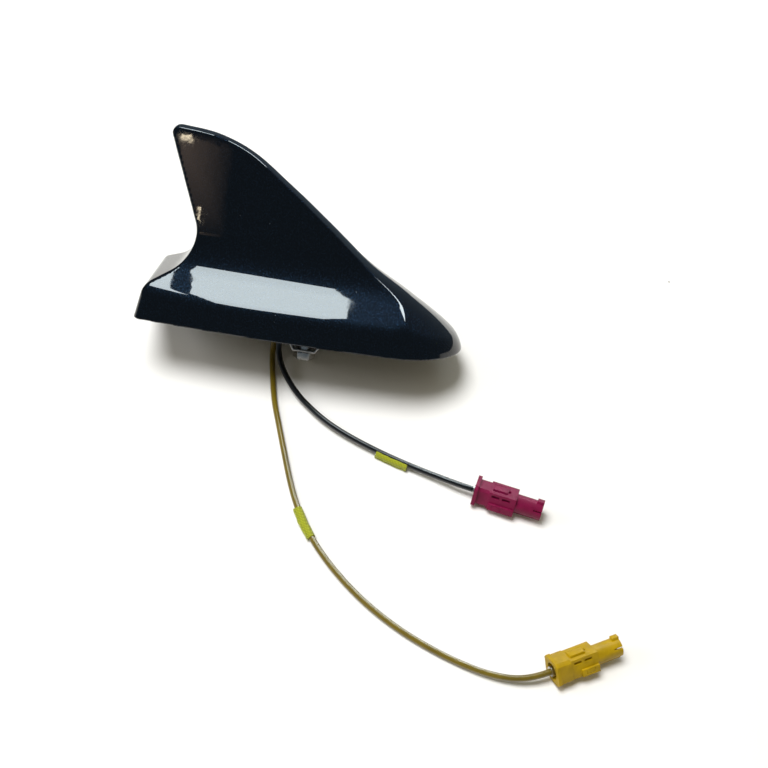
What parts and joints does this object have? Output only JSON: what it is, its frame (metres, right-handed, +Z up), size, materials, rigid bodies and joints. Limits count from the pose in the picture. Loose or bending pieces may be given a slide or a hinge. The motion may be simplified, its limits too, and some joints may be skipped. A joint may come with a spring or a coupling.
{
  "type": "gps roof antenna",
  "caption": "Fin-shaped car roof antenna for positioning and phone reception, with a claw bolt under its base and coaxial leads that end in keyed colour-coded plugs",
  "frame": {"origin": "on the mounting bolt's axis, in the plane of the roof, where the gasket's underside lies", "axes": "+X to the low nose, +Z up from the roof, +Y to the left side; the loose leads lie below the roof's plane, towards -Y, on a plane that slopes 30.8 degrees"},
  "size_m": [0.2383, 0.1698, 0.1857],
  "materials": {
    "navy_paint": "polished navy paint with fine flake",
    "black_rubber": "matte",
    "die_cast": "as cast",
    "plated_steel": "zinc plated",
    "spring_steel": "satin",
    "board_laminate": "solder mask",
    "tinned_sheet": "tinned",
    "patch_ceramic": "fired",
    "silver_film": "satin silver",
    "contact_brass": "bright",
    "olive_jacket": "semi-gloss",
    "black_jacket": "semi-gloss",
    "cloth_tape": "woven",
    "curry_plastic": "moulded",
    "bordeaux_plastic": "moulded",
    "white_insulator": "smooth"
  },
  "bodies": {
    "root": {"fin_cover": "navy_paint", "roof_gasket": "black_rubber", "base_chassis": "die_cast", "cover_screws": "plated_steel", "mounting_bolt": "plated_steel", "retaining_claw": "spring_steel", "cable_grommet": "black_rubber", "main_board": "board_laminate", "board_screws": "plated_steel", "shield_can": "tinned_sheet", "satellite_patch": "patch_ceramic", "satellite_electrode": "silver_film", "satellite_feed_pin": "contact_brass", "gps_patch": "patch_ceramic", "gps_electrode": "silver_film", "gps_feed_pin": "contact_brass", "phone_blade": "board_laminate", "phone_radiator": "contact_brass", "olive_tail": "olive_jacket", "black_tail": "black_jacket", "tail_crimps": "contact_brass", "olive_cable": "olive_jacket", "black_cable": "black_jacket", "olive_tape": "cloth_tape", "black_tape": "cloth_tape", "curry_housing": "curry_plastic", "curry_lock": "curry_plastic", "curry_ferrule": "plated_steel", "curry_contact": "contact_brass", "curry_insulator": "white_insulator", "curry_pin": "contact_brass", "bordeaux_housing": "bordeaux_plastic", "bordeaux_lock": "bordeaux_plastic", "bordeaux_ferrule": "plated_steel", "bordeaux_contact": "contact_brass", "bordeaux_insulator": "white_insulator", "bordeaux_pin": "contact_brass"}
  },
  "joints": []
}
